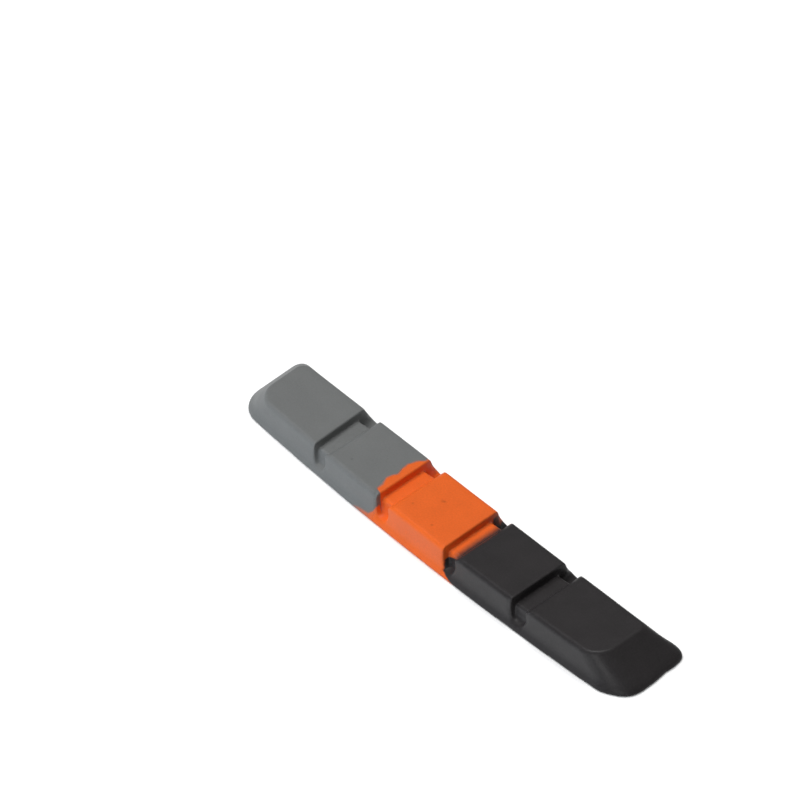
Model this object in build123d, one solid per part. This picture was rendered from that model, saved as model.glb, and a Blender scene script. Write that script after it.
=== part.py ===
import os
from math import radians, tan

from build123d import *

# Insert pad of a cartridge rim brake, in mm. The flat back lies on z = 0 and the
# braking face looks up +Z. +X runs to the black end, -Y is the convex long side.
LENGTH = 72.0
BASE_WIDTH = 11.7
BASE_EDGE = 0.45
HEIGHT = 4.15

# Plan curve of the long sides. The convex side bows alike at every level, and
# the concave side flattens out from the base up to the braking face.
CONVEX_RADIUS = 515.0
CONCAVE_BASE_RADIUS = 650.0
CONCAVE_FACE_RADIUS = 6000.0

# Grooves and ends lean together, in degrees: the convex side is nearer to +X.
CROSS_SKEW = 2.9

# The flare that the shoe holds: its height above the base's upright edge, and how far
# it draws in up to the foot of the body's wall.
FLARE_HEIGHT = 0.75
CONVEX_FLARE = 0.45
CONCAVE_FLARE = 0.35
END_FLARE = 0.8

# Draft of the body's sides and slope of its end ramps, in degrees from upright.
CONVEX_DRAFT = 3.8
CONCAVE_DRAFT = 24.3
GREY_RAMP = 44.4
BLACK_RAMP = 49.2

# Plan radii of the corners, at the base, the wall's foot and the braking face.
BASE_CONVEX_CORNER = 4.0
BASE_CONCAVE_CORNER = 1.4
FOOT_CONVEX_CORNER = 3.65
FOOT_CONCAVE_CORNER = 1.1
FACE_CONVEX_CORNER = 3.25
FACE_CONCAVE_CORNER = 1.3

# Rounding of the braking face, round its outside and along the mouths of the grooves.
FACE_ROUND = 0.6
MOUTH_ROUND = 0.18

# Cross grooves: a saddle floor with a deeper channel down each side.
GROOVE_COUNT = 4
GROOVE_PITCH = 12.55
GROOVE_WIDTH = 2.95
FLOOR_DEPTH = 1.0
FLOOR_CONVEX_EDGE = 4.05
FLOOR_CONCAVE_EDGE = 3.2
FLOOR_ROUND = 0.4
CHANNEL_DRAFT = 4.0
CHANNEL_LEVEL = 1.07
CHANNEL_COVE = 0.5
CHANNEL_STEP = 0.12
CHANNEL_ROUND = 1.3

# Where one compound meets the next: pairs of a place across the pad, as a share of
# the half width, and the front's step along X from the groove's first wall, as a
# share of the groove's width.
GREY_FRONT_GROOVE = 1
GREY_FRONT = [
    (-1.3, -0.1), (-0.88, -0.11), (-0.65, -0.34), (-0.36, -0.52), (-0.1, -0.37),
    (0.2, -0.53), (0.42, -0.41), (0.75, -0.17), (1.3, -0.14),
]
BLACK_FRONT_GROOVE = 2
BLACK_FRONT = [
    (-1.3, 0.13), (-0.84, 0.14), (-0.68, 0.33), (-0.5, 0.5),
    (0.0, 0.53), (0.4, 0.5), (0.56, 0.33), (0.72, 0.14), (1.3, 0.13),
]

HALF_WIDTH = BASE_WIDTH / 2
HALF_LENGTH = LENGTH / 2
WALL_FOOT = BASE_EDGE + FLARE_HEIGHT
FLOOR_LEVEL = HEIGHT - FLOOR_DEPTH
FIRST_GROOVE = -GROOVE_PITCH * (GROOVE_COUNT - 1) / 2
LEAN = tan(radians(CROSS_SKEW))
WIDE = 2 * BASE_WIDTH


def outline(convex, concave, grey_end, black_end, concave_radius, convex_corner, concave_corner):
    """Plan of one level: its reach on each side of the origin, bowed, corners rounded."""
    strip = Polygon(
        (-grey_end + LEAN * WIDE, -WIDE),
        (black_end + LEAN * WIDE, -WIDE),
        (black_end - LEAN * WIDE, WIDE),
        (-grey_end - LEAN * WIDE, WIDE),
        align=None,
    )
    bow = Pos(0, CONVEX_RADIUS - convex) * Circle(CONVEX_RADIUS)
    bite = Pos(0, concave_radius + concave) * Circle(concave_radius)
    plan = strip & bow - bite
    plan = fillet(plan.vertices().sort_by(Axis.Y)[:2], convex_corner)
    return fillet(plan.vertices().sort_by(Axis.Y)[-2:], concave_corner)


def run_in(angle):
    """Horizontal run of a body wall that leans by this angle."""
    return (HEIGHT - WALL_FOOT) * tan(radians(angle))


def pad_body():
    """Base, flare and drafted body in one, before the grooves."""
    base = outline(HALF_WIDTH, HALF_WIDTH, HALF_LENGTH, HALF_LENGTH,
                   CONCAVE_BASE_RADIUS, BASE_CONVEX_CORNER, BASE_CONCAVE_CORNER)
    convex = HALF_WIDTH - CONVEX_FLARE
    concave = HALF_WIDTH - CONCAVE_FLARE
    end = HALF_LENGTH - END_FLARE
    foot = outline(convex, concave, end, end,
                   CONCAVE_BASE_RADIUS, FOOT_CONVEX_CORNER, FOOT_CONCAVE_CORNER)
    face = outline(convex - run_in(CONVEX_DRAFT), concave - run_in(CONCAVE_DRAFT),
                   end - run_in(GREY_RAMP), end - run_in(BLACK_RAMP),
                   CONCAVE_FACE_RADIUS, FACE_CONVEX_CORNER, FACE_CONCAVE_CORNER)
    levels = [base, Pos(0, 0, BASE_EDGE) * base, Pos(0, 0, WALL_FOOT) * foot, Pos(0, 0, HEIGHT) * face]
    solid = loft(levels, ruled=True)
    return fillet(solid.edges().group_by(Axis.Z)[-1], FACE_ROUND)


def saddle():
    """Section across a groove, in Y and Z: what stays standing between its channels."""
    flare = (FLOOR_LEVEL - CHANNEL_LEVEL) * tan(radians(CHANNEL_DRAFT))
    section = Polygon(
        (-WIDE, -HEIGHT),
        (WIDE, -HEIGHT),
        (WIDE, CHANNEL_LEVEL),
        (FLOOR_CONCAVE_EDGE + flare, CHANNEL_LEVEL),
        (FLOOR_CONCAVE_EDGE, FLOOR_LEVEL),
        (-FLOOR_CONVEX_EDGE, FLOOR_LEVEL),
        (-FLOOR_CONVEX_EDGE - flare, CHANNEL_LEVEL),
        (-WIDE, CHANNEL_LEVEL),
        align=None,
    )
    section = fillet(section.vertices().group_by(Axis.Y)[-1], FLOOR_ROUND)
    coves = section.vertices().filter_by(lambda v: abs(v.Y - CHANNEL_LEVEL) < CHANNEL_STEP / 10)
    return fillet(coves.filter_by(lambda v: abs(v.X) < BASE_WIDTH), CHANNEL_COVE)


def groove_tool():
    """One cross groove's cutter, at x = 0 and square to X."""
    slot = Pos(0, CHANNEL_LEVEL - CHANNEL_STEP + HEIGHT / 2) * Rectangle(GROOVE_WIDTH, HEIGHT)
    slot = fillet(slot.vertices().group_by(Axis.Y)[0], CHANNEL_ROUND)
    lip = GROOVE_WIDTH / 2 + MOUTH_ROUND
    mouth = Pos(0, HEIGHT) * Rectangle(2 * lip, 2 * MOUTH_ROUND)
    for side in (-lip, lip):
        mouth = mouth - Pos(side, HEIGHT - MOUTH_ROUND) * Circle(MOUTH_ROUND)
    slot = extrude(Plane.XZ * (slot + mouth), WIDE, both=True)
    return slot - extrude(Plane.YZ * saddle(), GROOVE_WIDTH, both=True)


def groove_place(k):
    """Where groove k crosses the pad, counted from the grey end."""
    return Pos(FIRST_GROOVE + k * GROOVE_PITCH, 0) * Rot(0, 0, CROSS_SKEW)


def behind(front, k):
    """Everything on the grey side of a front that hangs on groove k's first wall."""
    line = [((step - 0.5) * GROOVE_WIDTH, share * HALF_WIDTH) for share, step in front]
    start, end = line[0], line[-1]
    rest = Polyline(end, (end[0], WIDE), (-LENGTH, WIDE), (-LENGTH, -WIDE), (start[0], -WIDE), start)
    side = make_face(Spline(*line) + rest)
    return groove_place(k) * Pos(0, 0, -HEIGHT) * extrude(side, 3 * HEIGHT)


pad = pad_body()
tool = groove_tool()
for k in range(GROOVE_COUNT):
    pad = pad - groove_place(k) * tool

grey_side = behind(GREY_FRONT, GREY_FRONT_GROOVE)
orange_side = behind(BLACK_FRONT, BLACK_FRONT_GROOVE)
nodes = {
    "grey_compound": pad & grey_side,
    "orange_compound": (pad & orange_side) - grey_side,
    "black_compound": pad - orange_side,
}

os.makedirs("parts", exist_ok=True)
for name, shape in nodes.items():
    export_step(shape, f"parts/{name}.step")
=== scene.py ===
from math import cos, radians, sin, tan

import bmesh
import bpy
import numpy as np
from mathutils import Euler, Matrix, Vector, noise
from mathutils.bvhtree import BVHTree


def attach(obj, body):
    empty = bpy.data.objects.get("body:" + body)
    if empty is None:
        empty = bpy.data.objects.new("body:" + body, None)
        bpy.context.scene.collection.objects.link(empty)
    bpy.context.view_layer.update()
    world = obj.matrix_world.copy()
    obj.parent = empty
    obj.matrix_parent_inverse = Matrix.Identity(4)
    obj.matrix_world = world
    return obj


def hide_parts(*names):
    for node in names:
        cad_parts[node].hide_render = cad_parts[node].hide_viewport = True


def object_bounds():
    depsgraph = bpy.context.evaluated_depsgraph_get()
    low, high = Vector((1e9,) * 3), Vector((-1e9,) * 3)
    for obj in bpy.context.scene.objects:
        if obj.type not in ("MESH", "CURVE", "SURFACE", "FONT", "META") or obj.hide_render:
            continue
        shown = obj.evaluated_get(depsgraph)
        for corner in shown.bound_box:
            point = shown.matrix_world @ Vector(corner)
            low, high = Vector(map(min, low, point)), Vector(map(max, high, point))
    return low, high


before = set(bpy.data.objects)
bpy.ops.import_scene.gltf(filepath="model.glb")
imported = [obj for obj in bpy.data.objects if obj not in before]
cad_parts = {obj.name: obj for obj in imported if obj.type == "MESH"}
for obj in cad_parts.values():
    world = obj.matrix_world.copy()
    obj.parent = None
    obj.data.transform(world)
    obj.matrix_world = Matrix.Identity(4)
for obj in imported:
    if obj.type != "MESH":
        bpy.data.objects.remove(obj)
cad_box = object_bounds()

MM = 0.001
WHITE = (1.0, 1.0, 1.0, 1.0)

# The pad as the solids have it, in mm and degrees: the height of its braking face, the bow of
# its convex side, and its grooves, which lean together and are counted from the grey end. Grey
# ends about the second groove's first wall, and black begins about the third's.
FACE = cad_box[1][2] / MM
BOW_RADIUS = 515.0
GROOVE_COUNT = 4
GROOVE_PITCH = 12.55
GROOVE_WIDTH = 2.95
CROSS_SKEW = 2.9
LEAN = tan(radians(CROSS_SKEW))
FIRST_WALLS = [
    (k - (GROOVE_COUNT - 1) / 2) * GROOVE_PITCH - GROOVE_WIDTH / 2 for k in range(GROOVE_COUNT)
]
GREY_WALL = FIRST_WALLS[1]
BLACK_WALL = FIRST_WALLS[2]

# The mesh of the moulded skin: the size of its faces in mm, the turn of its grid in radians,
# and how it is softened all over.
VOXEL = 0.12
GRID_TURN = (0.35, 0.0, 0.5)
SMOOTH_STEPS = 4
SMOOTH_FACTOR = 0.5

# How near faces of two solids that lie against each other are, in mm, and how squarely they
# look at each other. Vertices of one solid that are nearer than the last value are one.
SAME_PLACE = 0.02
FACING = -0.9
JOINED = 1e-5

# The extra softening: its steps, and how much of it is felt at a height, in mm, in the grooves
# and on the sides, which begin this far from the middle. It runs the flare into the walls and
# rounds the channels, and spares the face.
SIDE_STEPS = 30
GROOVE_SHARE = [(0.0, 0.3), (0.45, 1.0), (1.6, 1.0), (2.3, 0.0)]
SIDE_SHARE = [(0.0, 0.3), (0.45, 1.0), (2.9, 1.0), (3.6, 0.0)]
SIDE_FROM = (4.3, 4.7)

# The first wall of each groove: how far it stands from the solid's, how much more per mm across
# the pad, and how much deeper the groove's floor lies. Then how far to each side the wall's
# shift is felt, and where the floor's sinking is, along the pad and in height. All in mm.
WALL_FITS = [(-0.27, -0.06, 0.18), (-0.13, -0.02, 0.1), (-0.04, -0.02, 0.06), (-0.31, 0.0, 0.3)]
WALL_REACH = 1.3
SINK_ALONG = (-0.9, -0.5, 3.2, 3.5)
SINK_HEIGHT = (1.6, 2.6, 3.3, 4.0)

# The second wall of each groove stands nearer to the first than the solid's, and its upper edge
# is rounder: the step along the pad under that round and at the face, the round's height, and
# where that is felt along the pad from the first wall, and in height. All in mm.
SECOND_WALL = -0.8
LEADING_EDGE = 0.0
LEADING_ROUND = 0.85
SECOND_ALONG = (0.0, GROOVE_WIDTH, 6.0)
SECOND_HEIGHT = (0.3, 0.9)

# How far each end stands beyond the solid's, at mid width and more per mm across the pad,
# and the stretch of the pad, from and to an x, over which that sets in. All in mm.
GREY_END = (-0.4, -0.06, -27.0, -33.0)
BLACK_END = (-0.27, 0.017, 26.0, 32.0)

# The foot of the black end: place across the pad and how much further out it stands there,
# where along the pad that sets in, and the height over which it fades out. All in mm.
BLACK_FOOT = [
    (-4.4, 0.0), (-3.2, 0.4), (-2.6, 0.51), (1.2, 0.39), (3.4, 0.1), (4.6, 0.18), (5.8, 0.02),
]
FOOT_ALONG = (32.0, 34.5)
FOOT_HEIGHT = (0.5, 3.6)

# The nub of rubber at the same end's concave corner: x, y, radius and its reach in x and y,
# and the height over which it fades out. All in mm.
NUB = (34.7, 6.6, 3.4, -0.08, 0.3)
NUB_HEIGHT = (1.0, 3.9)

# Waves of the moulded skin: length and height, and the height under which they fade out
# towards the flat back. All in mm.
WAVES = [(2.6, 0.012), (0.9, 0.004)]
FLAT_BACK = 0.3

# Specks in the braking face: x, y, radius and depth. Then the height above which they are cut,
# in mm, how far their tone spreads, in radii, and how much it darkens.
SPECKS = [
    (-1.33, 0.39, 0.34, 0.025), (-1.05, 0.5, 0.28, 0.015), (-3.5, -2.6, 0.22, 0.01),
    (1.08, -3.44, 0.26, 0.012), (-18.21, -0.14, 0.26, 0.02), (-14.73, -3.02, 0.26, 0.02),
    (-17.56, -4.1, 0.34, 0.015),
]
SPECK_LEVEL = 3.6
SPECK_SPREAD = 1.2
SPECK_SHADE = 0.22

# The fronts between the solids are read at this height, at even steps to this far on each side
# of the middle, from a place beyond the pad's end. All in mm.
FRONT_LEVEL = 0.4
FRONT_STEP = 0.05
FRONT_REACH = 5.6
FRONT_BEYOND = 100.0

# Base colours of the three compounds, and their roughness.
GREY = (0.169, 0.174, 0.172)
ORANGE = (0.815, 0.136, 0.02)
BLACK = (0.0305, 0.028, 0.0287)
ROUGHNESS = {"grey_rubber": 0.38, "orange_rubber": 0.38, "black_rubber": 0.36}

# Cloudy changes over the skin: length of the clouds in mm, spread of the values and detail.
# The coarse wander of the colour lines sets in on the concave side, over these places across
# the pad in mm. Clouds and flecks of the tone are so many times stronger on black.
FINE_WANDER = (0.7, 0.3, 2.0)
COARSE_WANDER = (1.6, 2.4, 2.0)
COARSE_ACROSS = (4.2, 4.9)
CLOUDS = (3.0, 0.16, 3.0)
FLECKS = (0.22, 0.24, 2.0)
BLACK_GRAIN = 2.2
DULLNESS = (1.4, 0.12, 3.0)

# Sheen of the base and of the body above it, and the height over which it changes, in mm.
BASE_SHEEN = 0.2
SHEEN = 0.42
SHEEN_HEIGHT = (0.4, 1.2)

# The finest grain of the skin: length and depth, in mm, detail and strength.
SKIN_GRAIN = 0.16
SKIN_DEPTH = 0.03
SKIN_DETAIL = 3.0
SKIN_STRENGTH = 0.35

# The line on the braking face where grey ends: place across the pad, and step along it from the
# first wall of the second groove. Orange sets in over the fade to each side of it. All in mm.
GREY_LINE = [
    (-7.0, 0.35), (-4.75, 0.35), (-4.45, 0.1), (-4.2, -0.9), (-3.12, -1.02), (-2.13, -1.57),
    (-1.22, -1.46), (-0.54, -1.07), (0.64, -1.45), (1.58, -1.56), (2.47, -1.22), (3.0, -1.04),
    (3.3, -0.7), (3.6, -0.45), (7.0, -0.45),
]
GREY_FADE = 0.26

# The orange smear under the grey on the convex side: step along the pad from the same wall, and
# height of the smear. Then its fade to each side of that, where it sets in across the pad, and
# where it gains strength along it. All in mm.
SMEAR_LINE = [
    (-7.0, -0.4), (-4.6, -0.1), (-3.9, 0.3), (-3.1, 0.55), (-2.0, 0.65), (-1.2, 0.72),
    (-0.7, 1.2), (-0.3, 1.8), (0.0, 2.4), (7.0, 2.4),
]
SMEAR_FADE = 0.2
SMEAR_ACROSS = (-4.4, -4.7)
SMEAR_ALONG = (-5.0, -0.2)

# Where black sets in, along the pad from the first wall of the third groove, and its fade to
# each side of that: on the saddle that is the groove's floor, and in the channels beside it.
# All in mm.
SADDLE_STEP = 1.24
SADDLE_FADE = 0.7
CHANNEL_STEP = -0.2
CHANNEL_FADE = 0.25

# The heights at which the channels begin: the far one begins higher, past these places across
# the pad. All in mm.
CHANNEL_HEIGHT = (2.65, 1.95)
FAR_HEIGHT = (3.9, 3.2)
FAR_ACROSS = (3.1, 3.6)

# The orange tongue under the black on the convex side: its step along the pad, the height under
# which it reaches further and by how much per mm, and where it sets in across the pad, in mm.
TONGUE_STEP = 0.35
TONGUE_TOP = 0.95
TONGUE_LEAN = 2.2
TONGUE_ACROSS = (-4.5, -5.5)

# The camera, in degrees and mm: it looks at a point beside the pad's middle. Clipping is in m.
VIEW_AZIMUTH = 51.045
VIEW_ELEVATION = 40.852
VIEW_ROLL = -1.788
VIEW_DISTANCE = 498.2
VIEW_RIGHT = -5.932
VIEW_UP = 16.356
PIXELS_PER_MM = 8.117
IMAGE_PIXELS = 800
SENSOR_WIDTH = 36.0
CLIP_START = 0.01
CLIP_END = 10.0

# Lights: where each stands, its width and height, in m, its power and its colour. A gleam shows
# only in the rubber's sheen, and the others only in its colour.
LIGHTS = {
    "overhead": ((-0.12, 0.0, 0.60), (0.46, 0.46), 3.7, (1.0, 1.0, 1.0)),
    "front": ((-0.10, -0.60, 0.07), (0.60, 0.12), 1.85, (0.90, 1.0, 1.11)),
    "high_gleam": ((-0.094, 0.079, 0.592), (0.12, 0.12), 0.4, (1.0, 1.0, 1.0)),
    "low_gleam": ((0.36, -0.426, 0.216), (0.24, 0.24), 0.3, (1.0, 1.0, 1.0)),
}
DOME = 0.1
DOME_SEEN = 1.0

# The floor, in m: half its width, how far it lies under the back, its shades before and behind
# the pad with half the stretch between them, and how white it is to the camera. The shade behind
# is painted shade: the pad's bounce light and reflections see the floor darker behind it than in
# front.
FLOOR_HALF = 3.0
FLOOR_DEPTH = 0.02 * MM
FLOOR_FRONT = (0.85, 0.85, 0.85)
FLOOR_PAINTED_SHADE_BEHIND = (0.55, 0.55, 0.55)
FLOOR_TURN = 20 * MM
FLOOR_WHITE = (0.99, 0.99, 0.99)
FLOOR_GLOW = 0.15


def solid_mesh(node):
    """A node's solid as a bmesh in mm, its vertices joined."""
    bm = bmesh.new()
    bm.from_mesh(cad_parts[node].data)
    bmesh.ops.scale(bm, vec=(1 / MM,) * 3, verts=bm.verts)
    bmesh.ops.remove_doubles(bm, verts=bm.verts, dist=JOINED)
    bm.normal_update()
    bm.faces.index_update()
    return bm


def against(bm, neighbour):
    """The faces of a solid that lie against its neighbour."""
    tree = BVHTree.FromBMesh(neighbour)
    inner = []
    for face in bm.faces:
        _, normal, _, distance = tree.find_nearest(face.calc_center_median())
        if distance < SAME_PLACE and normal.dot(face.normal) < FACING:
            inner.append(face)
    return inner


def outer_shell(solids):
    """The outside of all solids together, without the faces that lie against each other."""
    whole = bmesh.new()
    for name, bm in solids.items():
        inner = set()
        for other, neighbour in solids.items():
            if other != name:
                inner.update(face.index for face in against(bm, neighbour))
        shell = bm.copy()
        shell.faces.ensure_lookup_table()
        bmesh.ops.delete(shell, geom=[shell.faces[k] for k in inner], context="FACES")
        part = bpy.data.meshes.new("part")
        shell.to_mesh(part)
        whole.from_mesh(part)
    bmesh.ops.remove_doubles(whole, verts=whole.verts, dist=SAME_PLACE)
    return whole


def moulded_skin(solids):
    """The whole pad's outer skin as one fine even mesh with softened edges, in mm."""
    whole = outer_shell(solids)
    turn = Euler(GRID_TURN).to_matrix().to_4x4()
    whole.transform(turn)
    mesh = bpy.data.meshes.new("skin")
    whole.to_mesh(mesh)
    skin = bpy.data.objects.new("skin", mesh)
    bpy.context.scene.collection.objects.link(skin)
    remesh = skin.modifiers.new("even", "REMESH")
    remesh.mode = "VOXEL"
    remesh.voxel_size = VOXEL
    remesh.use_smooth_shade = True
    soften = skin.modifiers.new("soften", "SMOOTH")
    soften.factor = SMOOTH_FACTOR
    soften.iterations = SMOOTH_STEPS
    graph = bpy.context.evaluated_depsgraph_get()
    made = bpy.data.meshes.new_from_object(skin.evaluated_get(graph))
    bpy.data.objects.remove(skin)
    made.transform(turn.inverted())
    return made


def soften_sides(mesh, places):
    """Runs the flare into the walls and rounds the channels' floors."""
    count = len(places)
    pairs = np.empty(2 * len(mesh.edges), dtype=int)
    mesh.edges.foreach_get("vertices", pairs)
    first, second = pairs.reshape(-1, 2).T
    here = np.concatenate([first, second])
    there = np.concatenate([second, first])
    neighbours = np.bincount(here, minlength=count)[:, None]
    x, y, z = places.T
    side = np.interp(np.abs(y - x ** 2 / (2 * BOW_RADIUS)), SIDE_FROM, (0, 1))
    in_groove, on_side = (np.interp(z, *zip(*given)) for given in (GROOVE_SHARE, SIDE_SHARE))
    share = SMOOTH_FACTOR * (in_groove + (on_side - in_groove) * side)[:, None]
    for _ in range(SIDE_STEPS):
        sums = [np.bincount(here, places[there, axis], count) for axis in range(3)]
        places += share * (np.stack(sums, axis=1) / neighbours - places)


def fit_grooves(places):
    """Brings the grooves' walls and floors from the solids' place to the photograph's."""
    x, y, z = places.T
    slant = x + y * LEAN
    for wall, (shift, turn, sink) in zip(FIRST_WALLS, WALL_FITS):
        past = slant - wall
        felt = np.clip(1 - (past / WALL_REACH) ** 2, 0, 1) ** 2
        x += felt * (shift + turn * y)
        inside = np.interp(past, SINK_ALONG, (0, 1, 1, 0))
        z -= sink * inside * np.interp(z, SINK_HEIGHT, (0, 1, 1, 0))
        up = np.clip((z - FACE) / LEADING_ROUND + 1, 0, 1) ** 2
        step = SECOND_WALL + (LEADING_EDGE - SECOND_WALL) * up
        along = np.interp(past, SECOND_ALONG, (0, 1, 0))
        x += step * along * np.interp(z, SECOND_HEIGHT, (0, 1))


def fit_ends(places):
    """Brings both ends to the photograph's place, with the black end's bowed foot and its nub."""
    x, y, z = places.T
    for reach, turn, low, high in (GREY_END, BLACK_END):
        felt = np.clip((x - low) / (high - low), 0, 1)
        x += felt * (reach + turn * y)
    foot = np.interp(y, *zip(*BLACK_FOOT)) * np.interp(z, FOOT_HEIGHT, (1, 0))
    x += foot * np.interp(x, FOOT_ALONG, (0, 1))
    nub_x, nub_y, radius, out_x, out_y = NUB
    away = ((x - nub_x) ** 2 + (y - nub_y) ** 2) / radius ** 2
    felt = np.clip(1 - away, 0, 1) ** 2 * np.interp(z, NUB_HEIGHT, (1, 0))
    x += felt * out_x
    y += felt * out_y


def shape_skin(mesh):
    """Softens the skin's sides and fits its grooves and ends."""
    places = np.empty(3 * len(mesh.vertices))
    mesh.vertices.foreach_get("co", places)
    places = places.reshape(-1, 3)
    soften_sides(mesh, places)
    fit_grooves(places)
    fit_ends(places)
    mesh.vertices.foreach_set("co", places.ravel())
    mesh.update()


def add_relief(mesh):
    """Gives the skin the slight waves of a moulding and the specks in its braking face."""
    spots = [(vertex.co.copy(), vertex.normal.copy()) for vertex in mesh.vertices]
    moved = []
    for place, normal in spots:
        lift = sum(height * noise.noise(place / length) for length, height in WAVES)
        lift *= min(max(place.z / FLAT_BACK, 0), 1)
        if place.z > SPECK_LEVEL:
            for x, y, radius, depth in SPECKS:
                away = ((place.x - x) ** 2 + (place.y - y) ** 2) / radius ** 2
                if away < 1:
                    lift -= depth * (1 - away) ** 2
        moved.extend(place + normal * lift)
    mesh.vertices.foreach_set("co", moved)
    mesh.update()


def front_table(solid):
    """Where a solid's far end lies along X, at even steps across the pad."""
    tree = BVHTree.FromBMesh(solid)
    steps = round(2 * FRONT_REACH / FRONT_STEP)
    table = []
    for k in range(steps + 1):
        start = Vector((FRONT_BEYOND, k * FRONT_STEP - FRONT_REACH, FRONT_LEVEL))
        table.append(tree.ray_cast(start, Vector((-1, 0, 0)))[0].x)
    return table


def front_at(table, y):
    """Reads such a table at y."""
    last = len(table) - 1
    place = min(max((y + FRONT_REACH) / FRONT_STEP, 0), last)
    k = min(int(place), last - 1)
    return table[k] + (table[k + 1] - table[k]) * (place - k)


def piece_of(skin, name, keep):
    """A closed piece: the kept faces that hold on by two edges or more, the cut ends filled."""
    bm = bmesh.new()
    bm.from_mesh(skin)
    outside = [face for face in bm.faces if not keep(face.calc_center_median())]
    while outside:
        bmesh.ops.delete(bm, geom=outside, context="FACES")
        outside = [
            face for face in bm.faces if sum(not edge.is_boundary for edge in face.edges) < 2
        ]
    rim = [edge for edge in bm.edges if edge.is_boundary]
    ends = bmesh.ops.holes_fill(bm, edges=rim, sides=0)["faces"]
    bmesh.ops.triangulate(bm, faces=ends)
    bmesh.ops.recalc_face_normals(bm, faces=bm.faces)
    bmesh.ops.scale(bm, vec=(MM,) * 3, verts=bm.verts)
    mesh = bpy.data.meshes.new(name)
    bm.to_mesh(mesh)
    piece = bpy.data.objects.new(name, mesh)
    bpy.context.scene.collection.objects.link(piece)
    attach(piece, "root")
    return piece


class Tree:
    """Short words for building a material's nodes."""

    def __init__(self, material):
        material.use_nodes = True
        self.nodes = material.node_tree.nodes
        self.links = material.node_tree.links
        self.shader = self.nodes["Principled BSDF"]

    def put(self, socket, value):
        """Links a socket to another one, or gives it a value."""
        if isinstance(value, bpy.types.NodeSocket):
            self.links.new(value, socket)
        else:
            socket.default_value = value

    def math(self, operation, *values):
        """The result of one operation on the values."""
        node = self.nodes.new("ShaderNodeMath")
        node.operation = operation
        for socket, value in zip(node.inputs, values):
            self.put(socket, value)
        return node.outputs[0]

    def go(self, share, start, end):
        """A value that goes from start to end as the share goes from 0 to 1."""
        linked = isinstance(end, bpy.types.NodeSocket)
        change = self.math("SUBTRACT", end, start) if linked else end - start
        return self.math("MULTIPLY_ADD", share, change, start)

    def span(self, value, low, high, kind="LINEAR"):
        """The value's share of the way from low to high, kept within 0 and 1."""
        node = self.nodes.new("ShaderNodeMapRange")
        node.interpolation_type = kind
        for socket, given in zip(node.inputs, (value, low, high, 0.0, 1.0)):
            self.put(socket, given)
        return node.outputs[0]

    def rise(self, value, low, high):
        """The same with a smooth start and end."""
        return self.span(value, low, high, "SMOOTHSTEP")

    def line(self, value, points):
        """Height over value of a line through the points."""
        low, high = points[0][0], points[-1][0]
        floor = min(height for _, height in points)
        roof = max(height for _, height in points)
        node = self.nodes.new("ShaderNodeFloatCurve")
        curve = node.mapping.curves[0]
        while len(curve.points) < len(points):
            curve.points.new(0.5, 0.5)
        for point, (place, height) in zip(curve.points, points):
            point.location = ((place - low) / (high - low), (height - floor) / (roof - floor))
            point.handle_type = "VECTOR"
        node.mapping.update()
        self.put(node.inputs["Value"], self.span(value, low, high))
        return self.math("MULTIPLY_ADD", node.outputs[0], roof - floor, floor)

    def blend(self, share, first, second):
        """The first colour, or its socket, run into the second."""
        node = self.nodes.new("ShaderNodeMix")
        node.data_type = "RGBA"
        self.put(node.inputs["Factor"], share)
        for letter, colour in (("A", first), ("B", second)):
            linked = isinstance(colour, bpy.types.NodeSocket)
            self.put(node.inputs[letter], colour if linked else (*colour, 1))
        return node.outputs["Result"]

    def noise(self, place, length, detail):
        """Cloudy values about 0.5 whose clouds have this length in mm."""
        node = self.nodes.new("ShaderNodeTexNoise")
        self.put(node.inputs["Vector"], place)
        node.inputs["Scale"].default_value = 1 / length
        node.inputs["Detail"].default_value = detail
        return node.outputs["Fac"]

    def cloud(self, place, length, spread, detail, middle=0.0):
        """Such values about the middle, over the spread."""
        values = self.noise(place, length, detail)
        return self.math("MULTIPLY_ADD", values, spread, middle - spread / 2)

    def object_place(self):
        """Where a point lies on the object, in m."""
        return self.nodes.new("ShaderNodeTexCoord").outputs["Object"]

    def parts(self, vector):
        """The vector's x, y and z."""
        node = self.nodes.new("ShaderNodeSeparateXYZ")
        self.put(node.inputs[0], vector)
        return node.outputs

    def scaled(self, vector, factor):
        """The vector times the factor."""
        node = self.nodes.new("ShaderNodeVectorMath")
        node.operation = "SCALE"
        self.put(node.inputs[0], vector)
        self.put(node.inputs["Scale"], factor)
        return node.outputs[0]

    def distance(self, vector, point):
        """How far the vector's end lies from the point."""
        node = self.nodes.new("ShaderNodeVectorMath")
        node.operation = "DISTANCE"
        self.put(node.inputs[0], vector)
        self.put(node.inputs[1], point)
        return node.outputs["Value"]


def orange_share(tree, along, y, z):
    """Orange over grey: past the line on the face, and in the smear on the convex side."""
    from_wall = tree.math("SUBTRACT", along, GREY_WALL)
    past_line = tree.math("SUBTRACT", from_wall, tree.line(y, GREY_LINE))
    orange = tree.rise(past_line, -GREY_FADE, GREY_FADE)
    under = tree.rise(
        tree.math("SUBTRACT", tree.line(from_wall, SMEAR_LINE), z), -SMEAR_FADE, SMEAR_FADE
    )
    smear = tree.math("MULTIPLY", under, tree.rise(y, *SMEAR_ACROSS))
    smear = tree.math("MULTIPLY", smear, tree.span(from_wall, *SMEAR_ALONG))
    return tree.math("MAXIMUM", orange, smear)


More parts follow.
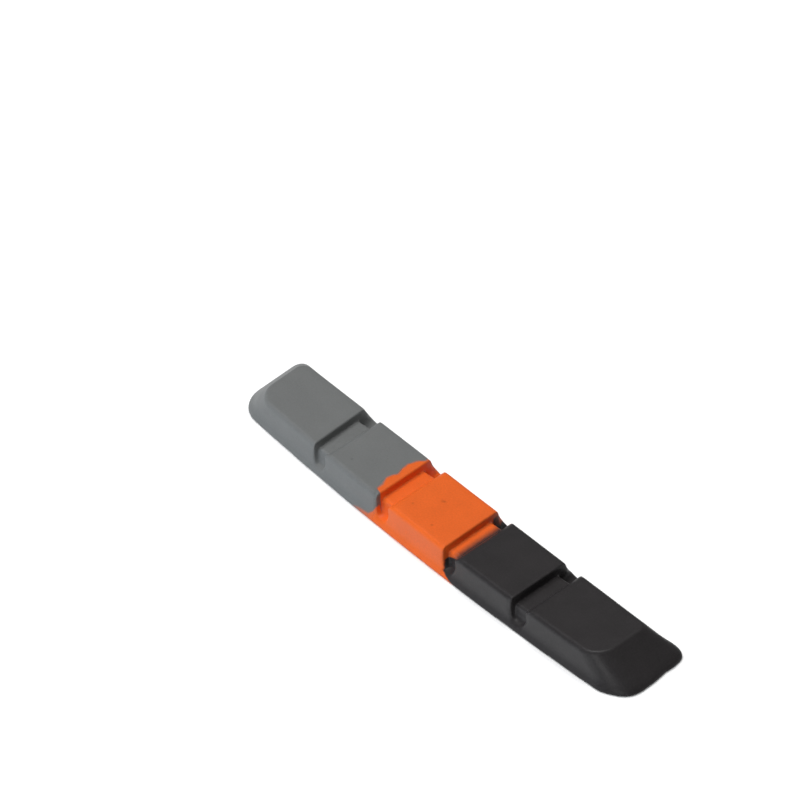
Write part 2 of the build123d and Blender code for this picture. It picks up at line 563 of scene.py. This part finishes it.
def black_share(tree, along, y, z):
    """Black over the rest: early in the channels, late and slowly on the saddle."""
    below = tree.math("MAXIMUM", tree.math("SUBTRACT", TONGUE_TOP, z), 0.0)
    tongue = tree.math("MULTIPLY_ADD", below, TONGUE_LEAN, TONGUE_STEP)
    in_channel = tree.go(tree.rise(y, *TONGUE_ACROSS), CHANNEL_STEP, tongue)
    far = tree.math("MULTIPLY", tree.rise(z, *FAR_HEIGHT), tree.rise(y, *FAR_ACROSS))
    deep = tree.math("MAXIMUM", tree.rise(z, *CHANNEL_HEIGHT), far)
    start = tree.go(deep, SADDLE_STEP, in_channel)
    fade = tree.go(deep, SADDLE_FADE, CHANNEL_FADE)
    past = tree.math("SUBTRACT", tree.math("SUBTRACT", along, BLACK_WALL), start)
    return tree.rise(tree.math("DIVIDE", past, fade), -1.0, 1.0)


def skin_tone(tree, place, black):
    """Clouds and flecks, stronger on black, and the dark specks in the face."""
    grain = tree.math("ADD", tree.cloud(place, *CLOUDS), tree.cloud(place, *FLECKS))
    grain = tree.math("MULTIPLY", grain, tree.go(black, 1.0, BLACK_GRAIN))
    tone = tree.math("ADD", grain, 1.0)
    for x, y, radius, _ in SPECKS:
        speck = tree.rise(tree.distance(place, (x, y, FACE)), SPECK_SPREAD * radius, 0.0)
        tone = tree.math("MULTIPLY", tone, tree.go(speck, 1.0, 1 - SPECK_SHADE))
    return tone


def rubber(name, roughness):
    """Moulded rubber in the colours that run together along the pad."""
    material = bpy.data.materials.new(name)
    tree = Tree(material)
    place = tree.scaled(tree.object_place(), 1 / MM)
    x, y, z = tree.parts(place)
    coarse = tree.cloud(place, *COARSE_WANDER)
    coarse = tree.math("MULTIPLY", coarse, tree.rise(y, *COARSE_ACROSS))
    wander = tree.math("ADD", tree.cloud(place, *FINE_WANDER), coarse)
    along = tree.math("ADD", tree.math("MULTIPLY_ADD", y, LEAN, x), wander)
    orange = orange_share(tree, along, y, z)
    black = black_share(tree, along, y, z)
    colour = tree.blend(black, tree.blend(orange, GREY, ORANGE), BLACK)

    surface = tree.shader.inputs
    tree.put(surface["Base Color"], tree.scaled(colour, skin_tone(tree, place, black)))
    tree.put(surface["Roughness"], tree.cloud(place, *DULLNESS, middle=roughness))
    sheen = tree.go(tree.rise(z, *SHEEN_HEIGHT), BASE_SHEEN, SHEEN)
    tree.put(surface["Specular IOR Level"], sheen)
    bump = tree.nodes.new("ShaderNodeBump")
    bump.inputs["Strength"].default_value = SKIN_STRENGTH
    bump.inputs["Distance"].default_value = SKIN_DEPTH * MM
    tree.put(bump.inputs["Height"], tree.noise(place, SKIN_GRAIN, SKIN_DETAIL))
    tree.put(surface["Normal"], bump.outputs[0])
    return material


def add_camera():
    """The camera at the photograph's viewing angle."""
    az, el, roll = (radians(a) for a in (VIEW_AZIMUTH, VIEW_ELEVATION, VIEW_ROLL))
    back = Vector((sin(az) * cos(el), -cos(az) * cos(el), sin(el)))
    level = Vector((cos(az), sin(az), 0))
    upright = back.cross(level)
    right = cos(roll) * level + sin(roll) * upright
    up = cos(roll) * upright - sin(roll) * level
    data = bpy.data.cameras.new("camera")
    data.sensor_width = SENSOR_WIDTH
    data.lens = PIXELS_PER_MM * VIEW_DISTANCE * SENSOR_WIDTH / IMAGE_PIXELS
    data.clip_start = CLIP_START
    data.clip_end = CLIP_END
    camera = bpy.data.objects.new("camera", data)
    place = (back * VIEW_DISTANCE + right * VIEW_RIGHT + up * VIEW_UP) * MM
    turn = Matrix((right, up, back)).transposed().to_4x4()
    camera.matrix_world = Matrix.Translation(place) @ turn
    bpy.context.scene.collection.objects.link(camera)
    bpy.context.scene.camera = camera


def add_floor():
    """A pale floor under the pad, white to the camera, with painted shade behind the pad for its
    bounce light and reflections.
    """
    bm = bmesh.new()
    bmesh.ops.create_grid(bm, x_segments=1, y_segments=1, size=FLOOR_HALF)
    mesh = bpy.data.meshes.new("floor")
    bm.to_mesh(mesh)
    floor = bpy.data.objects.new("floor", mesh)
    floor.location.z = -FLOOR_DEPTH
    bpy.context.scene.collection.objects.link(floor)
    material = bpy.data.materials.new("floor_white")
    tree = Tree(material)
    seen = tree.nodes.new("ShaderNodeLightPath").outputs["Is Camera Ray"]
    # Painted shade: to all but camera rays the floor turns darker behind the pad.
    painted_shade_behind = tree.rise(tree.parts(tree.object_place())["Y"], -FLOOR_TURN, FLOOR_TURN)
    shade = tree.blend(painted_shade_behind, FLOOR_FRONT, FLOOR_PAINTED_SHADE_BEHIND)
    surface = tree.shader.inputs
    tree.put(surface["Base Color"], tree.blend(seen, shade, FLOOR_WHITE))
    tree.put(surface["Emission Strength"], tree.math("MULTIPLY", seen, FLOOR_GLOW))
    surface["Emission Color"].default_value = WHITE
    surface["Roughness"].default_value = 1.0
    surface["Specular IOR Level"].default_value = 0.0
    floor.data.materials.append(material)


def add_lights():
    """Soft light from above and low from the front, two gleams, and a dim dome seen as white."""
    for name, (place, size, power, colour) in LIGHTS.items():
        lamp = bpy.data.lights.new(name, "AREA")
        lamp.shape = "RECTANGLE"
        lamp.size, lamp.size_y = size
        lamp.energy = power
        lamp.color = colour
        light = bpy.data.objects.new(name, lamp)
        light.visible_glossy = name.endswith("gleam")
        light.visible_diffuse = not name.endswith("gleam")
        stand = Vector(place)
        turn = stand.to_track_quat("Z", "Y").to_matrix().to_4x4()
        light.matrix_world = Matrix.Translation(stand) @ turn
        bpy.context.scene.collection.objects.link(light)
    world = bpy.data.worlds.new("studio")
    world.use_nodes = True
    nodes = world.node_tree.nodes
    links = world.node_tree.links
    level = nodes.new("ShaderNodeMapRange")
    level.inputs["To Min"].default_value = DOME
    level.inputs["To Max"].default_value = DOME_SEEN
    links.new(nodes.new("ShaderNodeLightPath").outputs["Is Camera Ray"], level.inputs["Value"])
    links.new(level.outputs[0], nodes["Background"].inputs["Strength"])
    nodes["Background"].inputs["Color"].default_value = WHITE
    bpy.context.scene.world = world


solids = {name: solid_mesh(name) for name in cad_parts}
skin = moulded_skin(solids)
shape_skin(skin)
add_relief(skin)
grey_front = front_table(solids["grey_compound"])
black_front = front_table(solids["orange_compound"])

pieces = [
    ("grey_rubber_end", "grey_compound", "grey_rubber",
     lambda c: c.x < front_at(grey_front, c.y)),
    ("orange_rubber_middle", "orange_compound", "orange_rubber",
     lambda c: front_at(grey_front, c.y) <= c.x < front_at(black_front, c.y)),
    ("black_rubber_end", "black_compound", "black_rubber",
     lambda c: c.x >= front_at(black_front, c.y)),
]
for name, node, slot, keep in pieces:
    piece = piece_of(skin, name, keep)
    piece.data.materials.append(rubber(slot, ROUGHNESS[slot]))
    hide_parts(node)

add_camera()
add_floor()
add_lights()
bpy.context.scene.view_settings.view_transform = "Standard"
